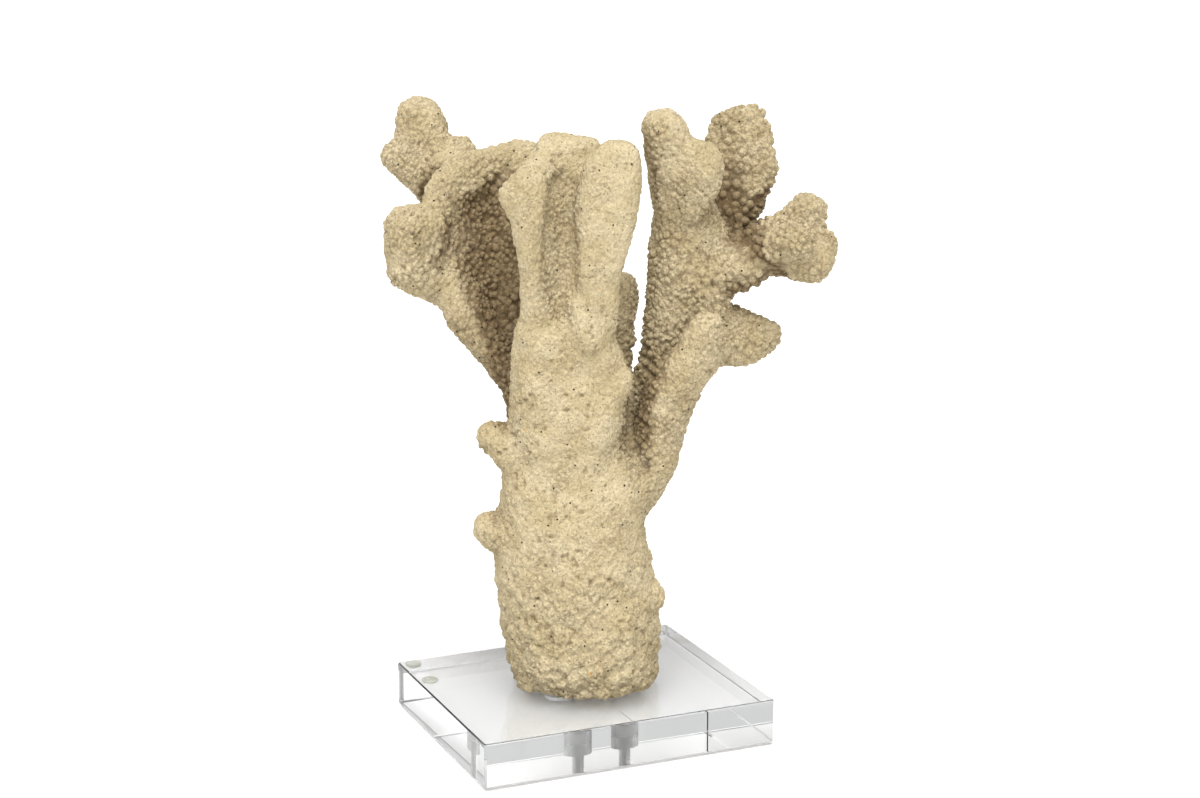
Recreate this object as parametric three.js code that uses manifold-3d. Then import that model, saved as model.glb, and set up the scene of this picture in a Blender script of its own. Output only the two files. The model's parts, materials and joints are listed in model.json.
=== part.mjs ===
// A branching coral screwed to a clear acrylic block, in millimetres, +Z up.
//
// The coral is one grown skeleton, built as limbs: a limb is a row of rounded
// cross-sections, and each stretch of it is the convex hull of two of them.
// The skeleton is split at its main forks, so that each branch is a solid of
// its own, cut back from the branch that it grows out of by a hairline gap.
import * as THREE from "three";
import { ConvexGeometry } from "three/addons/geometries/ConvexGeometry.js";
import { mergeVertices } from "three/addons/utils/BufferGeometryUtils.js";
import Module from "manifold-3d";

// Driving dimensions
const GAP = 0.3; // hairline between touching pieces
const BLOCK = { length: 176, width: 146, height: 25.4, edge: 0.8 };
const SCREW = {
  spacing: 29, // between the two screw axes
  shank: 4.2, // across the thread
  head: 9.5,
  headHeight: 3.2,
  reach: 34, // from the top of the block up into the coral
  tip: 4, // length of the point
};
const HOLE = { bore: 7, counterbore: 16.5, depth: 7 }; // across, across, up from below
const BUMPER = { across: 9.5, waist: 8.2, height: 2, inset: 15 };
const CORAL_TURN = -23.4; // degrees from the block's long side to the coral's broad side
const ROUND_SIDES = 20;

const COLOUR = {
  coral: { color: 0xd8c6a0, roughness: 0.95, metalness: 0 },
  acrylic: { color: 0xf1f5f5, roughness: 0.05, metalness: 0, transparent: true, opacity: 0.35 },
  screw: { color: 0x7a6a58, roughness: 0.45, metalness: 0.8 },
  bumper: { color: 0xdfe3c4, roughness: 0.3, metalness: 0 },
};

// Limbs of the coral. x runs along its broad side, y goes to its back and z is
// the height above the underside of the block. A section is one point, or the
// two points that a flattened limb is stretched between, and its half thickness r.
const dot = (x, y, z, r) => ({ ends: [[x, y, z]], r });
const bar = (from, to, r) => ({ ends: [from, to], r });

const LIMBS = {
  trunk: [
    [
      bar([-5, 2, 37], [8, 2, 37], 37),
      bar([-12, 3, 70], [9, 2, 70], 35),
      bar([-17, 1, 97], [6, 1, 97], 33),
      bar([-16, 0, 121], [4, 0, 122], 31),
      bar([-19, -2, 146], [12, 0, 145], 26),
      bar([-17, -4, 167], [6, 0, 165], 22),
    ],
    [dot(4, 2, 121, 30), dot(20, 8, 143, 24), dot(31, 10, 160, 18)], // shoulder under the right side
    [dot(-40, 0, 113, 14), dot(-52, -4, 118, 10)], // low knob on the left
    [dot(25, 0, 75, 16), dot(38, -2, 77, 9)], // low knob on the right
    [dot(-30, -6, 160, 15), dot(-50, -12, 174, 9)], // stub above it on the left
  ],
  front_plate: [
    [
      bar([-20, -9, 171], [3, -7, 171], 20),
      bar([-21, -14, 195], [8, -11, 194], 18),
      bar([-25, -18, 217], [13, -13, 212], 14),
      bar([-27, -22, 236], [6, -20, 235], 10),
    ],
    [
      dot(20, -18, 209, 9), // ridge down its right edge
      dot(12, -17, 197, 12),
      dot(7, -18, 181, 12),
      dot(2, -14, 161, 14),
      dot(-1, -10, 142, 18),
    ],
  ],
  front_twin_finger: [
    [
      bar([-14, -15, 236], [-3, -17, 238], 9), // broad rear plate
      bar([-14, -15, 266], [-3, -20, 268], 7),
      bar([-14, -13, 295], [-1, -19, 296], 7),
      bar([-15, -12, 318], [3, -15, 319], 8),
      bar([-16, -11, 336], [3, -8, 334], 8),
    ],
    [
      bar([-25, -24, 240], [-20, -22, 240], 8), // ridge in front of it on the left
      dot(-27, -31, 264, 6),
      dot(-28, -35, 286, 6),
      bar([-31, -37, 302], [-27, -37, 302], 7),
      bar([-36, -38, 315], [-26, -35, 318], 8),
      dot(-25, -29, 324, 8),
      dot(-17, -15, 329, 8),
    ],
    [bar([-23, -22, 240], [-10, -16, 240], 6), bar([-25, -27, 310], [-11, -16, 313], 6)], // web
  ],
  front_long_finger: [
    [
      bar([7, -25, 240], [10, -24, 240], 9),
      bar([6, -29, 267], [14, -28, 267], 8),
      bar([6, -31, 289], [19, -30, 289], 8),
      bar([6, -31, 311], [23, -30, 311], 8),
      bar([10, -30, 328], [25, -28, 330], 8),
      bar([17, -29, 335], [24, -28, 335], 8),
    ],
    [dot(5, -25, 236, 11), dot(1, -27, 254, 8)], // its foot spreads to the left
  ],
  left_fan: [
    [
      bar([-24, 3, 180], [-14, 4, 178], 17), // inner half, from the root up
      bar([-32, 12, 200], [-22, 10, 200], 12),
      bar([-44, 22, 222], [-24, 14, 220], 11),
      bar([-52, 28, 242], [-25, 22, 244], 10),
      bar([-56, 34, 264], [-24, 30, 268], 9),
      bar([-58, 40, 290], [-23, 36, 292], 9),
      bar([-58, 42, 310], [-24, 41, 312], 8),
      bar([-50, 43, 323], [-30, 45, 325], 8),
    ],
    [
      bar([-34, 7, 201], [-30, 12, 200], 10), // outer half, which turns to the front
      bar([-52, 8, 221], [-44, 22, 222], 10),
      bar([-67, 9, 241], [-52, 28, 242], 10),
      bar([-76, 12, 262], [-56, 34, 264], 9),
      bar([-81, 18, 288], [-58, 40, 290], 9),
      bar([-80, 24, 308], [-58, 42, 310], 8),
      bar([-68, 30, 319], [-52, 42, 322], 8),
    ],
    [dot(-80, 25, 302, 10), dot(-66, 32, 309, 10), dot(-54, 39, 316, 9)], // thick rim
    [
      bar([-78, 14, 254], [-72, 18, 252], 10), // ear on its outer edge
      bar([-97, 2, 267], [-87, 11, 266], 12),
      bar([-97, 0, 291], [-87, 10, 290], 12),
    ],
  ],
  far_left_branch: [
    [
      bar([-66, 44, 290], [-58, 44, 288], 12),
      bar([-88, 50, 309], [-72, 48, 312], 12),
      bar([-97, 57, 322], [-84, 54, 325], 11),
      bar([-94, 60, 345], [-92, 60, 345], 12),
    ],
    [dot(-98, 55, 317, 10), dot(-107, 56, 323, 8)], // side knob
    [dot(-76, 48, 318, 11), dot(-69, 50, 327, 8)], // shoulder
  ],
  middle_finger: [
    [
      bar([12, 8, 175], [16, 8, 175], 12),
      bar([17, 15, 206], [18, 15, 206], 9),
      bar([18, 19, 228], [21, 19, 227], 8),
      bar([24, 23, 248], [24, 24, 253], 8),
    ],
  ],
  right_limb: [
    [
      bar([30, 8, 156], [35, 8, 156], 19),
      bar([44, 13, 190], [48, 12, 190], 16),
      bar([49, 17, 218], [61, 15, 218], 14),
      bar([49, 19, 246], [71, 17, 247], 12),
      bar([49, 18, 274], [76, 20, 273], 11),
      bar([50, 16, 293], [68, 20, 293], 10),
    ],
  ],
  upper_mitten: [
    [
      bar([50, 14, 294], [60, 15, 294], 9),
      bar([46, 7, 321], [60, 7, 318], 9),
      bar([43, 4, 347], [47, 4, 347], 9),
    ],
    [
      dot(59, 11, 297, 9), // second lobe
      bar([62, 5, 314], [68, 3, 314], 9),
      bar([66, 3, 330], [70, 2, 327], 9),
    ],
  ],
  back_paddle: [
    [
      bar([68, 26, 266], [76, 28, 268], 10),
      bar([80, 42, 292], [92, 42, 294], 9),
      bar([78, 52, 312], [103, 52, 313], 9),
      bar([79, 57, 329], [101, 57, 330], 9),
      bar([83, 60, 340], [96, 61, 343], 9),
    ],
  ],
  right_antler: [
    [
      bar([76, 19, 268], [76, 18, 260], 12),
      bar([92, 20, 273], [92, 18, 264], 10),
      bar([106, 20, 281], [107, 16, 272], 10),
      bar([118, 20, 288], [122, 14, 270], 10),
      bar([126, 21, 290], [132, 12, 272], 10),
    ],
    [dot(116, 20, 285, 11), dot(127, 24, 295, 11)], // upper lobe
    [dot(125, 18, 284, 11), dot(134, 17, 277, 10)], // outer lobe
    [dot(118, 12, 270, 10), dot(130, 8, 268, 10)], // lower lobe
    [dot(108, 10, 278, 10), dot(121, -3, 284, 10)], // front lobe
  ],
  lower_right_paddle: [
    [
      bar([62, 20, 234], [62, 19, 222], 12),
      bar([78, 24, 234], [78, 23, 219], 11),
      bar([91, 27, 229], [91, 25, 217], 10),
      bar([100, 29, 226], [100, 27, 220], 9),
      bar([107, 30, 225], [107, 29, 223], 7),
    ],
  ],
  thumb: [
    [
      dot(33, 0, 140, 13),
      dot(41, -1, 158, 14),
      bar([43, -4, 177], [44, -4, 177], 13),
      bar([50, -9, 203], [52, -9, 203], 13),
      bar([63, -13, 220], [65, -13, 220], 12),
      bar([68, -17, 238], [70, -17, 238], 8),
    ],
  ],
};

const wasm = await Module();
wasm.setup();

// Turns a closed three.js geometry into a solid that can be joined and cut.
function solidOf(geometry) {
  const bare = geometry.clone();
  bare.deleteAttribute("normal");
  bare.deleteAttribute("uv");
  const merged = mergeVertices(bare, 1e-4);
  return new wasm.Manifold(
    new wasm.Mesh({
      numProp: 3,
      vertProperties: Float32Array.from(merged.attributes.position.array),
      triVerts: Uint32Array.from(merged.index.array),
    }),
  );
}

// Turns a solid back into a geometry with flat facets.
function geometryOf(solid) {
  const mesh = solid.getMesh();
  const geometry = new THREE.BufferGeometry();
  geometry.setAttribute("position", new THREE.BufferAttribute(mesh.vertProperties, mesh.numProp));
  geometry.setIndex(new THREE.BufferAttribute(mesh.triVerts, 1));
  return geometry;
}

function join(solids) {
  return solids.reduce((whole, next) => whole.add(next));
}

// A solid of revolution about +Z from a closed [radius, height] outline.
function turned(outline, x = 0) {
  const points = outline.map(([radius, height]) => new THREE.Vector2(radius, height));
  const geometry = new THREE.LatheGeometry(points, ROUND_SIDES);
  geometry.rotateX(Math.PI / 2);
  geometry.translate(x, 0, 0);
  return geometry;
}

// Coral

const BALL = new THREE.IcosahedronGeometry(1, 1);
const BALL_POINTS = Array.from({ length: BALL.attributes.position.count }, (_, i) =>
  new THREE.Vector3().fromBufferAttribute(BALL.attributes.position, i),
);

function ballPoints([x, y, z], radius) {
  const centre = new THREE.Vector3(x, y, z);
  return BALL_POINTS.map((point) => point.clone().multiplyScalar(radius).add(centre));
}

// One stretch of a limb: the hull of the balls at both its sections' ends.
function stretch(lower, upper, grow) {
  const points = [lower, upper].flatMap(({ ends, r }) =>
    ends.flatMap((end) => ballPoints(end, r + grow)),
  );
  return solidOf(new ConvexGeometry(points));
}

function limb(sections, grow) {
  const stretches = sections.slice(1).map((upper, i) => stretch(sections[i], upper, grow));
  return join(stretches);
}

function branch(limbs, grow = 0) {
  return join(limbs.map((sections) => limb(sections, grow)));
}

// Everything below the cut that the coral stands on, with a hairline left over the block.
function belowFoot() {
  const room = 200;
  const slab = new THREE.BoxGeometry(room, room, room);
  slab.translate(0, 0, BLOCK.height + GAP - room / 2);
  return solidOf(slab);
}

// Stand

const screwPlaces = { left: -SCREW.spacing / 2, right: SCREW.spacing / 2 };
const headSeat = HOLE.depth - GAP;

function screwOutline(grow) {
  const shank = SCREW.shank / 2 + grow;
  const head = SCREW.head / 2;
  const top = BLOCK.height + SCREW.reach + grow;
  return [
    [0, headSeat - SCREW.headHeight],
    [head, headSeat - SCREW.headHeight],
    [head, headSeat - 1],
    [head - 1, headSeat],
    [shank, headSeat],
    [shank, top - SCREW.tip],
    [0, top],
  ];
}

function holeOutline() {
  const below = -1;
  const above = BLOCK.height + 1;
  return [
    [0, below],
    [HOLE.counterbore / 2, below],
    [HOLE.counterbore / 2, HOLE.depth],
    [HOLE.bore / 2, HOLE.depth],
    [HOLE.bore / 2, above],
    [0, above],
  ];
}

function acrylicBlock() {
  const { length, width, height, edge } = BLOCK;
  const outline = new THREE.Shape();
  const x = length / 2 - edge;
  const y = width / 2 - edge;
  outline.moveTo(-x, -y).lineTo(x, -y).lineTo(x, y).lineTo(-x, y).closePath();
  const slab = new THREE.ExtrudeGeometry(outline, {
    depth: height - 2 * edge,
    bevelEnabled: true,
    bevelThickness: edge,
    bevelSize: edge,
    bevelSegments: 1,
  });
  slab.translate(0, 0, edge);
  let block = solidOf(slab);
  for (const place of Object.values(screwPlaces)) {
    block = block.subtract(solidOf(turned(holeOutline(), place)));
  }
  return geometryOf(block);
}

function bumper() {
  const { across, waist, height } = BUMPER;
  return turned([
    [0, -height],
    [waist / 2, -height],
    [across / 2, -height / 2],
    [across / 2, -GAP],
    [0, -GAP],
  ]);
}

// Assembly

function piece(name, geometry, look) {
  const mesh = new THREE.Mesh(geometry, new THREE.MeshStandardMaterial(COLOUR[look]));
  mesh.name = name;
  return mesh;
}

// The branches in growing order: each is cut back from all the earlier ones.
function coral() {
  const group = new THREE.Group();
  group.rotation.z = THREE.MathUtils.degToRad(CORAL_TURN);
  const turnBack = new THREE.Matrix4().makeRotationZ(-group.rotation.z);
  let taken = belowFoot();
  for (const place of Object.values(screwPlaces)) {
    const pilot = turned(screwOutline(GAP), place);
    taken = taken.add(solidOf(pilot.applyMatrix4(turnBack)));
  }
  for (const [name, limbs] of Object.entries(LIMBS)) {
    group.add(piece(name, geometryOf(branch(limbs).subtract(taken)), "coral"));
    taken = taken.add(branch(limbs, GAP));
  }
  return group;
}

function stand() {
  const group = new THREE.Group();
  group.add(piece("acrylic_base", acrylicBlock(), "acrylic"));
  for (const [side, place] of Object.entries(screwPlaces)) {
    group.add(piece(`screw_${side}`, turned(screwOutline(0), place), "screw"));
  }
  const sides = { left: -1, right: 1 };
  const rows = { front: -1, back: 1 };
  for (const [row, alongWidth] of Object.entries(rows)) {
    for (const [side, alongLength] of Object.entries(sides)) {
      const pad = piece(`bumper_${row}_${side}`, bumper(), "bumper");
      pad.position.x = alongLength * (BLOCK.length / 2 - BUMPER.inset);
      pad.position.y = alongWidth * (BLOCK.width / 2 - BUMPER.inset);
      group.add(pad);
    }
  }
  return group;
}

// The origin is under the middle of the whole object, on the surface it stands on.
const model = new THREE.Group();
model.add(stand(), coral());
model.updateMatrixWorld(true);
const box = new THREE.Box3().setFromObject(model, true);
const middle = box.getCenter(new THREE.Vector3());
model.position.set(-middle.x, -middle.y, -box.min.z);

const coralOnItsStand = new THREE.Group();
coralOnItsStand.add(model);

export default coralOnItsStand;
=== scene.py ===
"""A branching coral on its clear stand: coral, acrylic block, screws, pads and a pale studio."""
import json
import math

import bpy
import numpy as np
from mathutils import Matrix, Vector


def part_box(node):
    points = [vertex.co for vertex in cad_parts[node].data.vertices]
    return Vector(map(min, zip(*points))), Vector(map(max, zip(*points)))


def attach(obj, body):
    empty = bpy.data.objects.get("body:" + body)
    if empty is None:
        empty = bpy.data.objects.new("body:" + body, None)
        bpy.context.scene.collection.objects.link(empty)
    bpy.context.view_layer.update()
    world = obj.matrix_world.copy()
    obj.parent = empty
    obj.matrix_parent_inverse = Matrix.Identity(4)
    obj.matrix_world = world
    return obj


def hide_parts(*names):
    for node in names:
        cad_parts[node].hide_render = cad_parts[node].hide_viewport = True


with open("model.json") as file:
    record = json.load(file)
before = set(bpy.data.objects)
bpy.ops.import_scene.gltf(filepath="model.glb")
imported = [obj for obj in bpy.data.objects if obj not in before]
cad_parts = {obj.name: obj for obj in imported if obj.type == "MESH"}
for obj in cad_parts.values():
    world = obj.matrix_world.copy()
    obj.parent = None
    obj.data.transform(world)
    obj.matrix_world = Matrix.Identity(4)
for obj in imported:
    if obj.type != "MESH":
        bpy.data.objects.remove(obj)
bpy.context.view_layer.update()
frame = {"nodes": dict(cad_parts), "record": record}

import openvdb
from mathutils import Euler, Vector

bl_info = {
    "name": "Coral on a clear stand",
    "version": (1, 0, 0),
    "blender": (4, 5, 0),
    "location": "View3D > Sidebar > Coral",
    "description": "Grows a branching coral over its packed branches and finishes its stand",
    "category": "Object",
}

MM = 0.001
BODY = "root"

CORAL_NODES = sorted(
    row["node"] for row in frame["record"]["subparts"] if row["material_slot"] == "coral"
)
BUMPER_NODES = [name for name in frame["nodes"] if name.startswith("bumper_")]
SCREW_NODES = [name for name in frame["nodes"] if name.startswith("screw_")]

# How rough each branch's skin is: the height of its beads, the share of the larger beads among
# them and the height of its knobs; and how much brown dust and painted shade it is given, all
# over (most where it is sheltered) and towards its root. Worn fingers are nearly smooth and
# light.
SKIN = {
    "trunk": (0.7, 0.35, 0.55, -0.25, 0.0),
    "front_plate": (0.45, 0.2, 0.25, -0.2, 0.0),
    "front_twin_finger": (0.55, 0.3, 0.25, -0.7, 0.0),
    "front_long_finger": (0.35, 0.2, 0.15, -0.3, 0.0),
    "left_fan": (1.1, 0.45, 0.3, 1.0, 1.0),
    "far_left_branch": (1.2, 0.5, 0.35, 0.7, 0.0),
    "middle_finger": (1.0, 0.3, 0.2, -0.8, 0.0),
    "right_limb": (1.35, 0.4, 0.2, -0.8, 0.5),
    "upper_mitten": (0.85, 0.35, 0.2, 0.5, 0.0),
    "back_paddle": (1.6, 0.9, 0.4, 2.9, 0.0),
    "right_antler": (1.9, 0.95, 0.4, 3.2, 0.0),
    "lower_right_paddle": (1.7, 0.8, 0.4, -1.0, 0.0),
    "thumb": (1.05, 0.4, 0.25, 0.0, 0.3),
}


# ---------------------------------------------------------------- sizes and colours


class CoralSizes(bpy.types.PropertyGroup):
    """Sizes of the coral's skin"""

    voxel: bpy.props.FloatProperty(
        name="Coarse voxel", description="Step of the grid that the branches are blended on",
        default=1.5 * MM, unit="LENGTH",
    )
    skin: bpy.props.FloatProperty(
        name="Skin", description="How far the blended skin stands off the branches' solids",
        default=1.1 * MM, unit="LENGTH",
    )
    bead: bpy.props.FloatProperty(
        name="Bead height", description="Height of a full bead as a share of the beads' spacing",
        default=0.55, subtype="FACTOR",
    )
    fine_bead: bpy.props.FloatProperty(
        name="Fine bead spacing", description="Spacing of the small beads",
        default=3.1 * MM, unit="LENGTH",
    )
    large_bead: bpy.props.FloatProperty(
        name="Large bead spacing", description="Spacing of the large beads",
        default=4.7 * MM, unit="LENGTH",
    )
    knob: bpy.props.FloatProperty(
        name="Knob height", description="Height of the lumpy knobs low on the trunk",
        default=2.1 * MM, unit="LENGTH",
    )
    knob_spacing: bpy.props.FloatProperty(
        name="Knob spacing", description="Spacing of the knobs", default=9.5 * MM, unit="LENGTH",
    )
    lump: bpy.props.FloatProperty(
        name="Lump height", description="Height of the broad swellings of every branch",
        default=1.3 * MM, unit="LENGTH",
    )
    lump_spacing: bpy.props.FloatProperty(
        name="Lump spacing", description="Spacing of the broad swellings",
        default=17.0 * MM, unit="LENGTH",
    )
    pit: bpy.props.FloatProperty(
        name="Pit depth", description="Depth of the scattered small pits",
        default=1.6 * MM, unit="LENGTH",
    )
    sand: bpy.props.FloatProperty(
        name="Sand height", description="Height of the sandy grain all over the skin",
        default=0.18 * MM, unit="LENGTH",
    )
    sand_spacing: bpy.props.FloatProperty(
        name="Sand spacing", description="Spacing of the sandy grain",
        default=1.9 * MM, unit="LENGTH",
    )
    lap: bpy.props.FloatProperty(
        name="Lap", description="How far a branch runs on under its neighbour past their fork",
        default=1.6 * MM, unit="LENGTH",
    )


class CoralColours(bpy.types.PropertyGroup):
    """Colours of the coral"""

    cream: bpy.props.FloatVectorProperty(
        name="Cream", description="Tops of the beads and worn skin", subtype="COLOR",
        default=(0.56, 0.468, 0.297),
    )
    sandy: bpy.props.FloatVectorProperty(
        name="Sandy", description="Body colour between the beads", subtype="COLOR",
        default=(0.43, 0.34, 0.18),
    )
    # Painted shade of the sheltered hollows, with their dust; also the grains' dark joints and
    # flecks
    shade_and_dust_tone: bpy.props.FloatVectorProperty(
        name="Deep", description="Dust in the sheltered hollows and crevices", subtype="COLOR",
        default=(0.175, 0.117, 0.056),
    )
    # Painted shade in the seams between the beads
    seam_shade: bpy.props.FloatVectorProperty(
        name="Crevice", description="The seams between the beads", subtype="COLOR",
        default=(0.11, 0.075, 0.04),
    )
    # Grey smudges, heavier where the painted shade is
    smudge_and_shade: bpy.props.FloatVectorProperty(
        name="Smudge", description="Grey dust in the hollows", subtype="COLOR",
        default=(0.17, 0.15, 0.125),
    )
    olive: bpy.props.FloatVectorProperty(
        name="Olive", description="Fine olive grains among the sand", subtype="COLOR",
        default=(0.24, 0.21, 0.12),
    )
    speck: bpy.props.FloatVectorProperty(
        name="Speck", description="Scattered dark grains", subtype="COLOR",
        default=(0.02, 0.018, 0.015),
    )
    amber: bpy.props.FloatVectorProperty(
        name="Amber", description="A few amber grains", subtype="COLOR",
        default=(0.5, 0.27, 0.06),
    )


class StandSizes(bpy.types.PropertyGroup):
    """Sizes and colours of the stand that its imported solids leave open"""

    corner: bpy.props.FloatProperty(
        name="Corner", description="Flat polished across the block's upright corners",
        default=0.9 * MM, unit="LENGTH",
    )
    edge: bpy.props.FloatProperty(
        name="Edge", description="Radius of the block's long polished edges",
        default=0.8 * MM, unit="LENGTH",
    )
    thread_pitch: bpy.props.FloatProperty(
        name="Thread pitch", description="Rise of the screw thread in one turn",
        default=1.6 * MM, unit="LENGTH",
    )
    thread_depth: bpy.props.FloatProperty(
        name="Thread depth", description="Depth of the screw thread",
        default=0.55 * MM, unit="LENGTH",
    )
    acrylic: bpy.props.FloatVectorProperty(
        name="Acrylic", description="Colour of the clear block", subtype="COLOR",
        default=(1.0, 1.0, 1.0),
    )
    steel: bpy.props.FloatVectorProperty(
        name="Steel", description="Colour of the browned screws", subtype="COLOR",
        default=(0.19, 0.115, 0.07),
    )
    pad: bpy.props.FloatVectorProperty(
        name="Pad", description="Colour of the clear pads", subtype="COLOR",
        default=(0.90, 0.92, 0.74),
    )


class StudioSettings(bpy.types.PropertyGroup):
    """Camera and light"""

    lens: bpy.props.FloatProperty(
        name="Lens", description="Focal length of the camera", default=72.3, unit="CAMERA",
    )
    distance: bpy.props.FloatProperty(
        name="Distance", description="From the camera to what it looks at",
        default=1.364, unit="LENGTH",
    )
    azimuth: bpy.props.FloatProperty(
        name="Azimuth", description="Turn of the camera round the object",
        default=math.radians(-23.4), unit="ROTATION",
    )
    elevation: bpy.props.FloatProperty(
        name="Elevation", description="Angle of the camera above the horizon",
        default=math.radians(13.26), unit="ROTATION",
    )
    aim_height: bpy.props.FloatProperty(
        name="Aim height", description="What the camera looks at, over the block's underside",
        default=0.192, unit="LENGTH",
    )
    aim_side: bpy.props.FloatProperty(
        name="Aim side",
        description="What the camera looks at, to the right of the block's middle",
        default=0.0114, unit="LENGTH",
    )
    sky: bpy.props.FloatProperty(
        name="Sky", description="Strength of the even light from all round", default=0.65,
    )
    light: bpy.props.FloatProperty(
        name="Light", description="Strength of the soft light from above", default=3.5,
    )
    spread: bpy.props.FloatProperty(
        name="Spread", description="Angle that the soft light comes from",
        default=math.radians(45), unit="ROTATION",
    )
    floor: bpy.props.FloatVectorProperty(
        name="Floor", description="Colour of the floor", subtype="COLOR",
        default=(0.97, 0.97, 0.97),
    )


def settings():
    """All the values that a user would change."""
    return bpy.context.scene.coral_on_stand


# ---------------------------------------------------------------- shared makers


def new_piece(name, points, faces, materials, smooth=False):
    """A finished object at the origin from arrays of points and of equal-sided faces."""
    mesh = bpy.data.meshes.new(name)
    sides = faces.shape[1]
    mesh.vertices.add(len(points))
    mesh.vertices.foreach_set("co", np.asarray(points, np.float32).ravel())
    mesh.loops.add(faces.size)
    mesh.loops.foreach_set("vertex_index", np.asarray(faces, np.int32).ravel())
    mesh.polygons.add(len(faces))
    mesh.polygons.foreach_set("loop_start", np.arange(len(faces), dtype=np.int32) * sides)
    mesh.polygons.foreach_set("use_smooth", np.full(len(faces), smooth))
    mesh.update(calc_edges=True)
    mesh.validate()
    for material in materials:
        mesh.materials.append(material)
    piece = bpy.data.objects.new(name, mesh)
    bpy.context.scene.collection.objects.link(piece)
    return piece


def finish_piece(piece, slot, *nodes):
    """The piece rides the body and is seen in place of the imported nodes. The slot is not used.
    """
    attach(piece, BODY)
    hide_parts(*nodes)


def merged(points, faces):
    """The same faces on points that are shared: points closer than a micron become one."""
    keys = np.round(points * 1e6).astype(np.int64)
    _, first, back = np.unique(keys, axis=0, return_index=True, return_inverse=True)
    return points[first], back.reshape(-1)[faces]


def packed_arrays(node):
    """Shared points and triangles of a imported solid, from its loose triangles."""
    mesh = frame["nodes"][node].data
    points = np.empty(len(mesh.vertices) * 3, np.float32)
    mesh.vertices.foreach_get("co", points)
    mesh.calc_loop_triangles()
    corners = np.empty(len(mesh.loop_triangles) * 3, np.int32)
    mesh.loop_triangles.foreach_get("vertices", corners)
    return merged(points.reshape(-1, 3), corners.reshape(-1, 3))


def grid_faces(rows, columns, close_rows=False, close_columns=True):
    """Quads of a grid whose points are numbered row by row, closed along either way."""
    down = np.arange(rows if close_rows else rows - 1)
    across = np.arange(columns if close_columns else columns - 1)
    down, across = np.meshgrid(down, across, indexing="ij")
    below, beside = (down + 1) % rows, (across + 1) % columns
    corners = (
        down * columns + across,
        down * columns + beside,
        below * columns + beside,
        below * columns + across,
    )
    return np.stack(corners, -1).reshape(-1, 4)


class Nodes:
    """Adds nodes to a material and joins them by name."""

    def __init__(self, name):
        self.material = bpy.data.materials.new(name)
        self.material.use_nodes = True
        self.tree = self.material.node_tree
        self.shader = self.tree.nodes["Principled BSDF"]
        self.output = self.tree.nodes["Material Output"]
        self.place = self.add("ShaderNodeTexCoord").outputs["Object"]

    def add(self, kind, links=None, **values):
        """A node of a kind with its settings, its inputs linked or given a value."""
        node = self.tree.nodes.new(kind)
        for key, value in values.items():
            setattr(node, key, value)
        for socket, source in (links or {}).items():
            self.put(node, socket, source)
        return node

    def put(self, node, socket, source):
        """An input linked to an output, or given a value."""
        if isinstance(source, bpy.types.NodeSocket):
            self.tree.links.new(source, node.inputs[socket])
        else:
            node.inputs[socket].default_value = source

    def noise(self, size, detail=2.0, roughness=0.5, distortion=0.0):
        """Smooth noise whose lumps are about a size across."""
        links = {
            "Vector": self.place, "Scale": 1 / size, "Detail": detail,
            "Roughness": roughness, "Distortion": distortion,
        }
        return self.add("ShaderNodeTexNoise", links).outputs["Fac"]

    def cells(self, size):
        """Distance to the nearest of random spots about a size apart, as a share of the size."""
        links = {"Vector": self.place, "Scale": 1 / size}
        return self.add("ShaderNodeTexVoronoi", links).outputs["Distance"]

    def attribute(self, name):
        """A number that the mesh holds at each point."""
        return self.add("ShaderNodeAttribute", attribute_name=name).outputs["Fac"]

    def ranged(self, source, low, high, to_low=0.0, to_high=1.0):
        """The source eased from one range to another, and held at its ends."""
        links = {"Value": source, 1: low, 2: high, 3: to_low, 4: to_high}
        node = self.add("ShaderNodeMapRange", links, interpolation_type="SMOOTHSTEP")
        return node.outputs["Result"]

    def math(self, operation, first, second, clamp=False):
        """One sum, difference or product of two numbers."""
        links = {0: first, 1: second}
        node = self.add("ShaderNodeMath", links, operation=operation, use_clamp=clamp)
        return node.outputs["Value"]

    def mix(self, share, first, second, blend="MIX"):
        """The first colour with a share of the second."""
        node = self.add("ShaderNodeMix", data_type="RGBA", blend_type=blend)
        self.put(node, 0, share)
        self.put(node, 6, first)
        self.put(node, 7, second)
        return node.outputs[2]

    def bump(self, height, depth, strength):
        """A normal that leans as a relief of that height would make it."""
        links = {"Height": height, "Distance": depth, "Strength": strength}
        return self.add("ShaderNodeBump", links).outputs["Normal"]


def rgba(colour):
    """An opaque colour."""
    return (*colour, 1.0)


# ---------------------------------------------------------------- noise on points


def shuffle(cell, salt):
    """A number from 0 to 1 for each lattice cell: its whole coordinates mixed bit by bit."""
    x, y, z = (cell[..., axis].astype(np.int64).astype(np.uint32) for axis in range(3))
    mixed = x * np.uint32(73856093) ^ y * np.uint32(19349663) ^ z * np.uint32(83492791)
    mixed ^= np.uint32(salt * 2654435761 % 2**32)
    mixed ^= mixed >> np.uint32(16)
    mixed *= np.uint32(0x7FEB352D)
    mixed ^= mixed >> np.uint32(15)
    mixed *= np.uint32(0x846CA68B)
    mixed ^= mixed >> np.uint32(16)
    return mixed.astype(np.float32) / np.float32(2**32)


CORNERS = np.stack(np.meshgrid(*[[0, 1]] * 3, indexing="ij"), -1).reshape(-1, 3)
NEIGHBOURS = np.stack(np.meshgrid(*[[-1, 0, 1]] * 3, indexing="ij"), -1).reshape(-1, 3)


def waves(points, spacing, salt):
    """Smooth noise from -1 to 1: random values on a lattice, eased from corner to corner."""
    scaled = points / spacing
    cell = np.floor(scaled)
    part = scaled - cell
    part = part * part * (3 - 2 * part)
    total = np.zeros(len(points), np.float32)
    for corner in CORNERS:
        weight = np.prod(np.where(corner, part, 1 - part), axis=1)
        total += weight * shuffle(cell + corner, salt)
    return total * 2 - 1


# ---------------------------------------------------------------- coral


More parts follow.
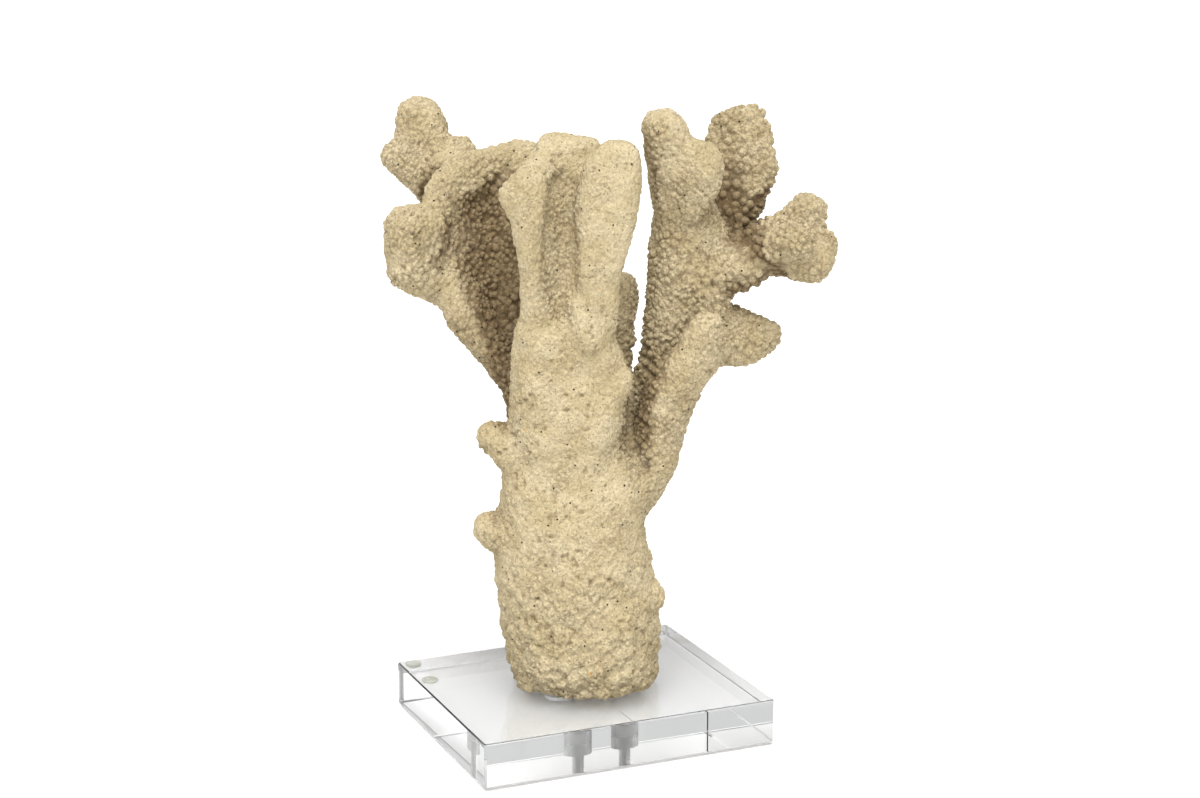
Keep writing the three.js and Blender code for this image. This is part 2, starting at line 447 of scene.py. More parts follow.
TURN = np.array(Euler((0.61, 0.44, 0.87)).to_matrix())  # of the beads' lattices
BEAD_STRAY = 0.7  # how far a bead may stray in its lattice cell, as a share of the cell
FAR_AWAY = 1e3  # where the lattice cells that hold no bead keep theirs
SEAM = 1.1  # how much higher one bead must be for the seam to end
MOST_QUADS = 96000  # in one branch
SINK = 0.25  # how steeply a branch dives under its neighbour past their fork
NEAR_BRANCH = 4 * MM  # over which one branch's skin fades into the next one's
PATCH = 13 * MM  # patches of higher and lower beads
SIZE_PATCH = 14 * MM  # patches of larger and smaller beads
PIT_SPACING = 2.8 * MM
PIT_PATCH = 22 * MM  # patches with more and fewer pits
WARP, WARP_SPACING = 0.4 * MM, 2.5 * MM  # how the beads' outlines waver
LOW_ROUGH = 100 * MM  # the height that the trunk's rough foot fades over
ROOT_TOP, ROOT_FADE = 262 * MM, 45 * MM  # where the painted shade towards the root starts, going down, and is full
FADE_DEPTH = 1.5 * MM  # under the coral's skin, where the relief ends
FOOT_GAP = 0.15 * MM  # between the coral's foot and the block


def slid(field, axis, step):
    """The field moved along an axis by whole voxels, its edge repeated."""
    index = np.clip(np.arange(field.shape[axis]) + step, 0, field.shape[axis] - 1)
    return np.take(field, index, axis=axis)


def softened(field, rounds):
    """Each round replaces a value by the 1-2-1 average along x, y and z in turn."""
    for _ in range(rounds):
        for axis in range(3):
            field = (slid(field, axis, -1) + 2 * field + slid(field, axis, 1)) / 4
    return field


def boxed(field, reach):
    """The average over a cube that reaches so many voxels each way, along each axis in turn: a
    difference of running sums. The lower edge is repeated, and past the upper one is nothing."""
    for axis in range(3):
        edge = np.take(field, np.zeros(reach + 1, int), axis)
        padded = np.concatenate([edge, field], axis)
        total = np.cumsum(padded, axis=axis, dtype=np.float64)
        index = np.arange(field.shape[axis])
        upper = np.take(total, np.minimum(index + 2 * reach + 1, total.shape[axis] - 1), axis)
        field = ((upper - np.take(total, index, axis)) / (2 * reach + 1)).astype(np.float32)
    return field


def doubled(field):
    """The field on a grid of half the step: new values are the averages of their neighbours."""
    for axis in range(3):
        ahead = np.take(field, np.arange(1, field.shape[axis]), axis=axis)
        first = np.take(field, np.arange(field.shape[axis] - 1), axis=axis)
        shape = list(first.shape)
        shape[axis] *= 2
        field = np.stack([first, (first + ahead) / 2], axis + 1).reshape(shape)
    return field


def read_at(field, spots):
    """The field at spots given in voxels: the average of the eight voxels round each spot,
    weighted by nearness."""
    spots = np.clip(spots, 0, np.array(field.shape) - 1.001)
    cell = spots.astype(np.int64)
    part = (spots - cell).astype(np.float32)
    total = np.zeros(len(spots), np.float32)
    for corner in CORNERS:
        weight = np.prod(np.where(corner, part, 1 - part), axis=1)
        i, j, k = (cell + corner).T
        total += weight * field[i, j, k]
    return total


class Growth:
    """The distance fields that all the branches are grown from, on one coarse grid."""

    BAND = 8  # voxels either side of a skin where distances are known
    MARGIN = 6  # more voxels round the coral
    PROBE = 0.7  # voxels either side of a point that a slope is taken over
    SOFT_ROUNDS = 4  # of averaging that blend the branches
    NEAR_REACH = 4  # voxels that the small shelters are averaged over
    FAR_REACH = 9  # the larger ones
    WIDE_REACH = 17  # and the crown's inside
    NEAR_SHARE, FAR_SHARE, WIDE_SHARE = 1.3, 1.8, 3.0  # what each shelter counts for
    OPEN = 0.56  # what they add up to on open skin
    UPWARD = 0.15  # how much less sheltered skin is that faces up: its beads are lower and its painted shade lighter

    def __init__(self, step):
        self.step = step
        self.sets = {}  # the beads that are already seated, by their spacing
        solids = [packed_arrays(node) for node in CORAL_NODES]
        low = np.min([points.min(0) for points, _ in solids], 0)
        high = np.max([points.max(0) for points, _ in solids], 0)
        self.start = np.floor(low / step).astype(int) - self.BAND - self.MARGIN
        ends = np.ceil(high / step).astype(int) + self.BAND + self.MARGIN + 1
        self.shape = ends - self.start
        place = openvdb.createLinearTransform(voxelSize=step)
        self.each = np.empty((len(solids), *self.shape), np.float32)
        for field, (points, faces) in zip(self.each, solids):
            level = openvdb.FloatGrid.createLevelSetFromPolygons(
                points.astype(np.float32), triangles=faces.astype(np.uint32),
                transform=place, halfWidth=self.BAND,
            )
            level.copyToArray(field, ijk=tuple(int(v) for v in self.start))
        self.whole = softened(self.each.min(0), self.SOFT_ROUNDS)
        filled = np.clip(0.5 - self.whole / step, 0, 1)
        self.near = boxed(boxed(filled, self.NEAR_REACH), self.NEAR_REACH)
        self.far = boxed(boxed(filled, self.FAR_REACH), self.FAR_REACH)
        self.wide = boxed(boxed(filled, self.WIDE_REACH), self.WIDE_REACH)

    def voxels(self, points):
        """Where points are on the grid."""
        return points / self.step - self.start

    def slope(self, points):
        """How the blended distance grows along x, y and z."""
        spots = self.voxels(points)
        rises = [
            read_at(self.whole, spots + ahead) - read_at(self.whole, spots - ahead)
            for ahead in np.eye(3) * self.PROBE
        ]
        return np.stack(rises, 1) / (2 * self.PROBE * self.step)

    def outward(self, points):
        """Unit vectors out of the coral."""
        slope = self.slope(points)
        return slope / np.maximum(np.linalg.norm(slope, axis=1, keepdims=True), 1e-9)

    def sheltered(self, points, outward):
        """How closed in each point is, from about 0 on a tip to 1 well in between branches: the
        weighted sum of how much of the space in front of the skin, near, far and wide, is filled
        by coral."""
        spots = self.voxels(points)
        near = read_at(self.near, spots + outward * self.NEAR_REACH)
        far = read_at(self.far, spots + outward * self.FAR_REACH)
        wide = read_at(self.wide, spots + outward * self.WIDE_REACH)
        filled = self.NEAR_SHARE * near + self.FAR_SHARE * far + self.WIDE_SHARE * wide
        return np.clip(filled - self.OPEN - self.UPWARD * outward[:, 2], 0, 1)

    def seated(self, spacing, salt, offset):
        """One bead in each lattice cell that the skin crosses near its middle: a random point of
        the cell, moved down the slope onto the skin, and a random size. The lattice is turned
        off the axes."""
        if spacing in self.sets:
            return self.sets[spacing]
        ends = (self.start + CORNERS * self.shape) * self.step @ TURN / spacing
        low = np.floor(ends.min(0)).astype(int) - 1
        high = np.ceil(ends.max(0)).astype(int) + 1
        cells = np.stack(np.meshgrid(*map(np.arange, low, high), indexing="ij"), -1)
        stray = np.stack([shuffle(cells, salt + axis) for axis in range(3)], -1)
        place = ((cells + 0.5 + BEAD_STRAY * (stray - 0.5)) * spacing).reshape(-1, 3) @ TURN.T
        near = np.full(len(place), True)
        for _ in range(2):
            depth = read_at(self.whole, self.voxels(place[near])) - offset
            reached = abs(depth) < spacing / 2
            near[near] = reached
            slope = self.slope(place[near])
            steep = np.maximum((slope**2).sum(1), 0.1)
            place[near] -= slope * (depth[reached] / steep)[:, None]
        place[~near] = FAR_AWAY
        size = shuffle(cells, salt + 3)
        self.sets[spacing] = low, place.reshape(*size.shape, 3).astype(np.float32), size
        return self.sets[spacing]

    def beads(self, points, spacing, salt, offset):
        """Round beads from 0 to 1, seated on the skin. Each is a paraboloid whose width and
        height grow with its own number. A point takes the highest over it, and loses height in
        the seam where the next one is nearly as high."""
        low, place, size = self.seated(spacing, salt, offset)
        cell = np.floor(points @ TURN / spacing).astype(int) - low
        best = np.full(len(points), -1.0, np.float32)
        second = best.copy()
        for step in NEIGHBOURS:
            i, j, k = (cell + step).T
            gap = ((points - place[i, j, k]) ** 2).sum(1) / spacing**2
            own = size[i, j, k]
            height = (0.6 + 0.4 * own) * (1 - gap / (0.24 + 0.16 * own))
            second = np.maximum(second, np.minimum(best, height))
            best = np.maximum(best, height)
        seam = np.clip((best - second) / SEAM, 0, 1)
        return np.sqrt(np.maximum(best, 0)) * (0.4 + 0.6 * seam * (2 - seam))

    def shares(self, points):
        """How much of each branch there is at each point: nearer branches count for more."""
        spots = self.voxels(points)
        gaps = np.stack([read_at(field, spots) for field in self.each], 1)
        weight = np.exp(-(gaps - gaps.min(1, keepdims=True)) / NEAR_BRANCH)
        return weight / weight.sum(1, keepdims=True)


def branch_field(growth, index, skin, lap):
    """One branch's share of the blended coral, on a grid of half the step. Past the fork, which
    is where the next branch is as near, it dives under that branch and is cut off after the
    lap."""
    others = np.delete(growth.each, index, axis=0).min(0)
    past = softened((growth.each[index] - others) / 2, 1)
    near = np.argwhere((past < lap + growth.step) & (growth.whole < skin + growth.step))
    margin = 3
    low = np.maximum(near.min(0) - margin, 0)
    high = np.minimum(near.max(0) + margin + 1, growth.shape)
    part = tuple(slice(a, b) for a, b in zip(low, high))
    past, whole = doubled(past[part]), doubled(growth.whole[part])
    field = np.maximum(whole - skin + SINK * np.maximum(past, 0), past - lap)
    return field.astype(np.float32), (growth.start + low) * 2


def resampled(field, start, step):
    """The field on a grid of a longer step, interpolated along each axis in turn."""
    low = np.ceil(start / step).astype(int)
    high = np.floor((start + field.shape - 1) / step).astype(int)
    for axis in range(3):
        spot = np.arange(low[axis], high[axis] + 1) * step - start[axis]
        cell = np.minimum(spot.astype(int), field.shape[axis] - 2)
        part = (spot - cell).reshape([-1 if a == axis else 1 for a in range(3)])
        ahead = np.take(field, cell + 1, axis)
        field = np.take(field, cell, axis) * (1 - part) + ahead * part
    return field.astype(np.float32), low


def branch_surface(growth, index, skin, lap):
    """Shared points and quads of the branch's closed skin, its faces pointing outwards. A branch
    with too large a skin is taken from a coarser grid."""
    fine, start = branch_field(growth, index, skin, lap)
    field, low, step = fine, start, 1.0
    while True:
        grid = openvdb.FloatGrid(1.0)
        grid.transform = openvdb.createLinearTransform(voxelSize=growth.step / 2 * step)
        grid.copyFromArray(field, ijk=tuple(int(v) for v in low))
        points, quads = grid.convertToQuads(0.0)
        if len(quads) <= MOST_QUADS:
            return points.astype(np.float64), quads[:, ::-1].astype(np.int64)
        step *= 1.01 * math.sqrt(len(quads) / MOST_QUADS)
        field, low = resampled(fine, start, step)


def relief(growth, points, outward):
    """How far each point of the skin is raised along its outward direction, and what its colour
    needs. Lumps are smooth noise, knobs are broad domes, beads are domes of two sizes mixed by
    the branch's SKIN row, pits are the peaks of a noise and sand is fine noise. The knobs are
    highest low on the trunk. Beads stand highest in the shelter between branches and are a
    little worn on the tips. The shelter also gives the colour its painted shade, added to each
    branch's own browning. Each noise has a salt of its own."""
    sizes = settings().sizes
    rows = np.array([SKIN[name] for name in CORAL_NODES], np.float32)
    height, large, knobby, dust, root = (growth.shares(points) @ rows).T
    shelter = growth.sheltered(points, outward)
    patches = waves(points, PATCH, 31)
    height = height * np.clip(0.6 + shelter + 0.3 * patches, 0.4, 1.3)
    large = np.clip(0.5 + 3 * (large - 0.5 + 0.5 * waves(points, SIZE_PATCH, 32)), 0, 1)
    lumps = waves(points, sizes.lump_spacing, 11)
    lumps += 0.6 * waves(points, sizes.lump_spacing / 2, 12)
    low = np.clip(1.3 - points[:, 2] / LOW_ROUGH, 0, 1)
    height = height + 0.2 * low
    pits = np.clip(2.8 * waves(points, PIT_SPACING, 91) - 1.1, 0, 1)
    pits *= np.clip(0.45 + 0.9 * waves(points, PIT_PATCH, 92) + 0.6 * low, 0, 1)
    warp = WARP * np.stack([waves(points, WARP_SPACING, 20 + axis) for axis in range(3)], 1)
    small = growth.beads(points + warp, sizes.fine_bead, 41, sizes.skin)
    big = growth.beads(points + warp, sizes.large_bead, 51, sizes.skin)
    knobs = growth.beads(points + 4 * warp, sizes.knob_spacing, 61, sizes.skin)
    bead = small + (big - small) * large
    domes = sizes.fine_bead * small + (sizes.large_bead * big - sizes.fine_bead * small) * large
    level = 0.5 * (sizes.fine_bead + (sizes.large_bead - sizes.fine_bead) * large)
    sand = waves(points, sizes.sand_spacing, 71) + 0.7 * waves(points, sizes.sand_spacing / 2, 81)
    raised = sizes.lump * 0.7 * lumps
    raised += sizes.knob * (knobby + 0.6 * low) * (knobs - 0.5) - sizes.pit * pits
    raised += sizes.bead * height * (domes - level)
    raised += sizes.sand * sand
    # Painted shade: the shelter browns the colour as shade would, the branch's dust shows mostly
    # there, and towards the root it is browner still
    dust = dust * (0.15 + 2.2 * shelter) + 0.75 * shelter
    dust += root * np.clip((ROOT_TOP - points[:, 2]) / ROOT_FADE, 0, 1)
    return raised, bead * (1 - pits), np.clip(height + pits, 0, 1), np.clip(dust, 0, 1.5)


def grown_branch(growth, index, material):
    """The branch's skin raised by the relief, which fades below the coral's surface so that the
    hidden cut at the fork stays flat, and never reaches below the flat that the foot stands
    on."""
    sizes = settings().sizes
    name = CORAL_NODES[index]
    points, quads = branch_surface(growth, index, sizes.skin, sizes.lap)
    depth = read_at(growth.whole, growth.voxels(points))
    outward = growth.outward(points)
    raised, bead, height, dust = relief(growth, points, outward)
    shown = np.clip(1 + (depth - sizes.skin) / FADE_DEPTH, 0, 1)
    moved = points + outward * (raised * shown)[:, None]
    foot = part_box("acrylic_base")[1].z + FOOT_GAP
    moved[:, 2] = np.maximum(moved[:, 2], foot)
    piece = new_piece("coral_" + name, moved, quads, [material], smooth=True)
    store(piece, "bead", bead)
    store(piece, "rough", height)
    store(piece, "dust", dust)
    finish_piece(piece, "coral", name)


def store(piece, name, values):
    """One number for each point, kept in the mesh for its material."""
    layer = piece.data.attributes.new(name, "FLOAT", "POINT")
    layer.data.foreach_set("value", np.asarray(values, np.float32))


def coral_material():
    """Dry sandy skeleton: cream clouded with a sandy tone, browner in the sheltered places, where
    dirt and painted shade gather, and with painted shade in the seams between beads, with grey
    smudges, a salt of fine grains, olive, dark and amber spots and a bump of sand and rubble."""
    tones = settings().colours
    make = Nodes("coral_skeleton")
    bead = make.attribute("bead")
    dust = make.attribute("dust")
    rough = make.attribute("rough")

    # body colour
    cloud = make.noise(18 * MM, detail=4, roughness=0.6)
    colour = make.mix(make.ranged(cloud, 0.35, 0.65), rgba(tones.cream), rgba(tones.sandy))
    colour = make.mix(0.6, rgba(tones.cream), colour)

    # brown dust and painted shade in the shelter, painted shade in the seams and grey smudges
    # Painted shade of the shelter, with the branch's dust, browns the colour; a noise makes it
    # uneven
    uneven = make.ranged(make.noise(7 * MM, detail=4, roughness=0.65), 0.3, 0.7, -0.18, 0.18)
    shade_and_dust_share = make.ranged(make.math("ADD", dust, uneven), 0.15, 1.15)
    # Painted shade in the seams between the beads and in the pits, darker where the dust and
    # painted shade are
    seam_shade = make.math("MULTIPLY", make.ranged(bead, 0.65, 0.1), make.ranged(rough, 0.2, 1.0))
    hold = make.math("ADD", make.math("MULTIPLY", seam_shade, 0.25), 0.72)
    colour = make.mix(make.math("MULTIPLY", shade_and_dust_share, hold, clamp=True), colour, rgba(tones.shade_and_dust_tone))
    depth = make.ranged(dust, 0.0, 1.0, 0.15, 0.65)
    colour = make.mix(make.math("MULTIPLY", seam_shade, depth), colour, rgba(tones.seam_shade))
    # Grey smudges of dust, heavier where the dust and painted shade are
    smoke = make.noise(12 * MM, detail=5, roughness=0.7, distortion=0.4)
    held = make.ranged(dust, 0.05, 0.6, 0.4, 1.0)
    smudge_and_shade = make.math("MULTIPLY", make.ranged(smoke, 0.57, 0.7), held)
    colour = make.mix(make.math("MULTIPLY", smudge_and_shade, 0.5), colour, rgba(tones.smudge_and_shade))

    # grains of sand, their joints and flecks
    grain = make.noise(1.3 * MM, detail=3, roughness=0.7)
    salt = make.ranged(grain, 0.3, 0.7, 0.78, 1.14)
    colour = make.mix(1.0, colour, salt, blend="MULTIPLY")
    grit = make.cells(1.6 * MM)
    coarse = make.ranged(rough, 0.3, 1.0, 0.0, 0.5)
    joint = make.math("MULTIPLY", make.ranged(grit, 0.42, 0.75), coarse)
    colour = make.mix(joint, colour, rgba(tones.shade_and_dust_tone))
    fleck = make.math("MULTIPLY", make.ranged(make.noise(2 * MM, detail=2), 0.6, 0.72), 0.5)
    colour = make.mix(fleck, colour, rgba(tones.shade_and_dust_tone))

    # single grains of another colour
    for apart, reach, tone in (
        (2.6 * MM, 0.2, tones.olive),
        (7.5 * MM, 0.1, tones.speck),
        (26 * MM, 0.045, tones.amber),
    ):
        spot = make.ranged(make.cells(apart), reach, reach * 0.6)
        colour = make.mix(spot, colour, rgba(tone))

    make.put(make.shader, "Base Color", colour)
    make.shader.inputs["Roughness"].default_value = 0.95
    make.shader.inputs["Specular IOR Level"].default_value = 0.25

    # sand and rubble
    sand = make.cells(0.9 * MM)
    rubble = make.noise(0.6 * MM, detail=2, roughness=0.6)
    height = make.math("SUBTRACT", rubble, make.math("MULTIPLY", sand, 0.7))
    height = make.math("SUBTRACT", height, make.math("MULTIPLY", grit, 1.5))
    make.put(make.shader, "Normal", make.bump(height, 0.4 * MM, 0.8))
    return make.material


class CORAL_OT_grow(bpy.types.Operator):
    """Grow the coral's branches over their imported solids"""

    bl_idname = "coral_on_stand.grow"
    bl_label = "Grow coral"

    def execute(self, context):
        growth = Growth(settings().sizes.voxel)
        material = coral_material()
        for index in range(len(CORAL_NODES)):
            grown_branch(growth, index, material)
        return {"FINISHED"}


# ---------------------------------------------------------------- clear block


def measured_hole():
    """The holes' places and radii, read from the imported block: radii of the bore at the top and
    the counterbore underneath, and the depth of the step between them."""
    low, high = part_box("acrylic_base")
    middle = (low + high) / 2
    screws = [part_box(name) for name in SCREW_NODES]
    spacing = abs((screws[0][0] + screws[0][1]).x - (screws[1][0] + screws[1][1]).x) / 2
    points, _ = packed_arrays("acrylic_base")
    side = points[points[:, 0] > middle.x] - (middle.x + spacing / 2, middle.y, 0)
    reach = np.hypot(side[:, 0], side[:, 1])
    near = reach < spacing / 2
    top = reach[near & (side[:, 2] > high.z - MM)].max()
    under = reach[near & (side[:, 2] < low.z + MM)].max()
    step = side[near & (reach < under * 0.6), 2].min() - low.z
    return middle, spacing, top, under, step


def reach_of_half(angles, centre_x, half_length, half_width, corner, inset):
    """Distance from a hole's axis to the outline of its half of the block, in each direction:
    the nearest of the outer sides drawn in by the inset, the chamfered corners and the middle
    plane."""
    slant = math.sqrt(0.5)
    sides = (
        (1.0, 0.0, half_length - inset),
        (0.0, 1.0, half_width - inset),
        (0.0, -1.0, half_width - inset),
        (slant, slant, (half_length + half_width - corner) * slant - inset),
        (slant, -slant, (half_length + half_width - corner) * slant - inset),
        (-1.0, 0.0, 0.0),
    )
    reach = np.full(len(angles), np.inf)
    for nx, ny, distance in sides:
        facing = nx * np.cos(angles) + ny * np.sin(angles)
        room = (distance - nx * centre_x) / np.where(facing > 1e-9, facing, np.nan)
        reach = np.fmin(reach, room)
    return reach


def half_block(hole, sizes):
    """Rings round one hole, from its bore over the top, down the side, under and up the
    counterbore: each ring is a circle or the half block's outline, so all of it is one grid.
    The corners' own directions are among those of the rings, so that the corners are sharp."""
    middle, spacing, bore, counterbore, step = hole
    low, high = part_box("acrylic_base")
    half_length, half_width = (high.x - low.x) / 2, (high.y - low.y) / 2
    centre_x = spacing / 2
    chamfer = sizes.corner * math.sqrt(2)
    marks = [
        (half_length, half_width - chamfer), (half_length - chamfer, half_width),
        (half_length, chamfer - half_width), (half_length - chamfer, -half_width),
        (0.0, half_width), (0.0, -half_width),
    ]
    corners = [math.atan2(y, x - centre_x) for x, y in marks]
    even = np.linspace(-math.pi, math.pi, 97)[:-1]
    angles = np.unique(np.round(np.concatenate([even, corners]), 9))
    way = np.stack([np.cos(angles), np.sin(angles)], 1)

    def outline(inset, z):
        reach = reach_of_half(angles, centre_x, half_length, half_width, chamfer, inset)
        return ring(reach, z)

    def ring(reach, z):
        flat = way * np.broadcast_to(reach, len(angles))[:, None]
        return np.column_stack([flat[:, 0] + centre_x, flat[:, 1], np.full(len(angles), z)])

    turns = np.linspace(0, math.pi / 2, 4)
    round_in = sizes.edge * (1 - np.sin(turns))
    round_down = sizes.edge * (1 - np.cos(turns))
    rings = [ring(bore, high.z)]
    rings += [outline(a, high.z - b) for a, b in zip(round_in, round_down)]
    rings += [outline(a, low.z + b) for a, b in zip(round_in[::-1], round_down[::-1])]
    rings += [ring(counterbore, low.z), ring(counterbore, low.z + step), ring(bore, low.z + step)]
    faces = grid_faces(len(rings), len(angles), close_rows=True)
    band = np.repeat(np.arange(len(rings)), len(angles))
    frosted = band >= len(rings) - 3  # up the counterbore, over its step and up the bore
    return np.concatenate(rings), faces, frosted


def clear_block(polished, frosted_material):
    """Two half blocks, one mirrored, welded where they meet in the middle plane."""
    hole = measured_hole()
    points, faces, frosted = half_block(hole, settings().stand)
    keep = np.abs(points[faces][:, :, 0]).max(1) > 1e-7  # not those in the middle plane
    faces, frosted = faces[keep], frosted[keep]
    mirrored = points * (-1, 1, 1)
    both = np.concatenate([points, mirrored]) + (hole[0].x, hole[0].y, 0)
    quads = np.concatenate([faces, faces[:, ::-1] + len(points)])
    both, quads = merged(both, quads)
    if signed_volume(both, quads) < 0:
        quads = quads[:, ::-1]
    piece = new_piece("clear_block", both, quads, [polished, frosted_material])
    piece.data.polygons.foreach_set("material_index", np.tile(frosted, 2).astype(np.int32))
    finish_piece(piece, "clear_acrylic", "acrylic_base")


def signed_volume(points, faces):
    """Six times the volume inside: positive when the faces point outwards."""
    first = points[faces[:, 0]]
    total = 0.0
    for k in range(1, faces.shape[1] - 1):
        normals = np.cross(points[faces[:, k]], points[faces[:, k + 1]])
        total += np.einsum("ij,ij->", first, normals)
    return total


def acrylic_material(name, roughness, clear, scratches):
    """Clear cast acrylic: plain transmission and index, a faint tint, and hairline polishing
    marks, or in the holes the milled frost, which lets less light straight through."""
    make = Nodes(name)
    shader = make.shader
    shader.inputs["Base Color"].default_value = rgba(settings().stand.acrylic)
    shader.inputs["Transmission Weight"].default_value = clear
    shader.inputs["IOR"].default_value = 1.49
    if scratches:
        marks = make.noise(60 * MM, detail=6, roughness=0.7)
        make.put(shader, "Roughness", make.ranged(marks, 0.45, 0.75, 0.0, roughness))
    else:
        milled = make.noise(1.2 * MM, detail=4, roughness=0.7)
        make.put(shader, "Roughness", make.ranged(milled, 0.3, 0.7, roughness * 0.8, roughness))
        make.put(shader, "Normal", make.bump(milled, 0.15 * MM, 0.6))
    absorb = make.add("ShaderNodeVolumeAbsorption")
    absorb.inputs["Color"].default_value = (0.9, 0.96, 0.95, 1.0)
    absorb.inputs["Density"].default_value = 1.2
    make.tree.links.new(absorb.outputs["Volume"], make.output.inputs["Volume"])
    return make.material


class CORAL_OT_block(bpy.types.Operator):
    """Make the clear block with its two counterbored holes"""

    bl_idname = "coral_on_stand.block"
    bl_label = "Clear block"

    def execute(self, context):
        polished = acrylic_material("acrylic_polished", 0.05, 1.0, scratches=True)
        frosted = acrylic_material("acrylic_frosted", 0.55, 0.6, scratches=False)
        clear_block(polished, frosted)
        return {"FINISHED"}


# ---------------------------------------------------------------- screws and pads


def turned_grid(radii, heights, columns):
    """A profile of radii and heights carried round the vertical axis: one row for each height.
    A radius is a number, or a row of one for each direction."""
    angles = np.arange(columns) * (2 * math.pi / columns)
    radii = radii.reshape(len(heights), -1)
    x, y = radii * np.cos(angles), radii * np.sin(angles)
    return np.stack([x, y, np.broadcast_to(heights[:, None], x.shape)], -1)


def capped(grid):
    """Points and triangles of a grid whose first and last rows are closed by a centre point."""
    rows, columns, _ = grid.shape
    points = np.concatenate([grid.reshape(-1, 3), grid[0].mean(0)[None], grid[-1].mean(0)[None]])
    quads = grid_faces(rows, columns)
    around = np.arange(columns)
    beside = (around + 1) % columns
    last = (rows - 1) * columns
    low = np.column_stack([np.full(columns, rows * columns), beside, around])
    high = np.column_stack([np.full(columns, rows * columns + 1), last + around, last + beside])
    faces = np.concatenate([quads[:, [0, 1, 2]], quads[:, [0, 2, 3]], low, high])
    if signed_volume(points, faces) < 0:
        faces = faces[:, ::-1]
    return points, faces


def screw_surface(low, high):
    """A wood screw point up. Its thread is a sawtooth in height minus angle; its head is a low
    dome, and the driver's cross is where either level coordinate is within the blade's half."""
    sizes = settings().stand
    axis = ((low + high) / 2).xy
    head_radius = (high.x - low.x) / 2
    columns = 40
    angles = np.arange(columns) * (2 * math.pi / columns)
    head_height, dome_height = 3.2 * MM, 0.9 * MM
    blade_half, blade_depth, blade_reach = 0.55 * MM, 1.3 * MM, 0.62 * head_radius
    shank, point_length = 2.1 * MM, 4 * MM

    reach = np.linspace(0.04, 1, 14) * head_radius
    x, y = np.outer(reach, np.cos(angles)), np.outer(reach, np.sin(angles))
    dome = dome_height * (np.hypot(x, y) / head_radius) ** 2
    blade = (np.minimum(abs(x), abs(y)) < blade_half) & (np.hypot(x, y) < blade_reach)
    face = np.stack([x, y, low.z + dome + np.where(blade, blade_depth, 0)], -1)
    rim_heights = low.z + np.array([1.3, 2.2, 2.9, 3.2]) * MM
    rim = turned_grid(head_radius * np.array([1.0, 1.0, 0.9, 0.78]), rim_heights, columns)

    heights = np.linspace(low.z + head_height, high.z, 260)
    turn = heights[:, None] / sizes.thread_pitch - angles / (2 * math.pi)
    tooth = 1 - 2 * np.abs(turn - np.floor(turn) - 0.5)
    taper = np.clip((high.z - heights[:, None]) / point_length, 0.03, 1)
    radii = (shank - sizes.thread_depth * (1 - tooth)) * taper
    body = turned_grid(radii, heights, columns)
    grid = np.concatenate([face, rim, body]) + (axis.x, axis.y, 0)
    return capped(grid)


def steel_material():
    """Browned zinc: a dull metal with darker stains."""
    make = Nodes("screw_browned_steel")
    stain = make.noise(1.5 * MM, detail=4, roughness=0.65)
    steel = settings().stand.steel
    dark = tuple(0.45 * v for v in steel)
    colour = make.mix(make.ranged(stain, 0.35, 0.65), rgba(steel), rgba(dark))
    make.put(make.shader, "Base Color", colour)
    make.shader.inputs["Metallic"].default_value = 0.7
    make.put(make.shader, "Roughness", make.ranged(stain, 0.3, 0.7, 0.35, 0.6))
    make.put(make.shader, "Normal", make.bump(stain, 0.08 * MM, 0.5))
    return make.material


def pad_surface(low, high):
    """A soft dome standing on its flat: a straight flank with rounded rims, carried round."""
    axis = ((low + high) / 2).xy
    radius = (high.x - low.x) / 2
    height = high.z - low.z
    turns = np.linspace(0, math.pi / 2, 6)
    rim = 0.45 * MM
    foot = radius * 0.86
    radii = np.concatenate([
        [foot * 0.3, foot * 0.7], foot - rim * (1 - np.sin(turns)),
        radius - rim * (1 - np.cos(turns)), [radius * 0.6, radius * 0.25],
    ])
    heights = np.concatenate([
        [0, 0], rim * (1 - np.cos(turns)),
        height - rim * (1 - np.sin(turns)), [height, height],
    ])
    grid = turned_grid(radii, low.z + heights, 56) + (axis.x, axis.y, 0)
    return capped(grid)


def pad_material():
    """Clear soft plastic, slightly yellowed and clouded."""
    make = Nodes("pad_clear_rubber")
    shader = make.shader
    pad = settings().stand.pad
    cloud = make.noise(2 * MM, detail=3)
    tint = make.mix(make.ranged(cloud, 0.3, 0.7), rgba(pad), rgba(tuple(0.93 * v for v in pad)))
    make.put(shader, "Base Color", tint)
    make.put(shader, "Roughness", make.ranged(cloud, 0.3, 0.7, 0.12, 0.3))
    shader.inputs["Transmission Weight"].default_value = 0.3
    shader.inputs["IOR"].default_value = 1.47
    return make.material


class CORAL_OT_screws(bpy.types.Operator):
    """Make the two screws that hold the coral to its block"""

    bl_idname = "coral_on_stand.screws"
    bl_label = "Screws"

    def execute(self, context):
        material = steel_material()
        for node in SCREW_NODES:
            points, faces = screw_surface(*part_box(node))
            piece = new_piece("threaded_" + node, points, faces, [material], smooth=True)
            finish_piece(piece, "screw_steel", node)
        return {"FINISHED"}


class CORAL_OT_pads(bpy.types.Operator):
    """Make the four clear pads under the block"""

    bl_idname = "coral_on_stand.pads"
    bl_label = "Pads"

    def execute(self, context):
        material = pad_material()
        for node in BUMPER_NODES:
            points, faces = pad_surface(*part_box(node))
            piece = new_piece("clear_" + node, points, faces, [material], smooth=True)
            finish_piece(piece, "bumper_pad", node)
        return {"FINISHED"}


# ---------------------------------------------------------------- studio


LIGHT_WAY = (-0.25, -0.55, 1.0)  # from the object towards the light


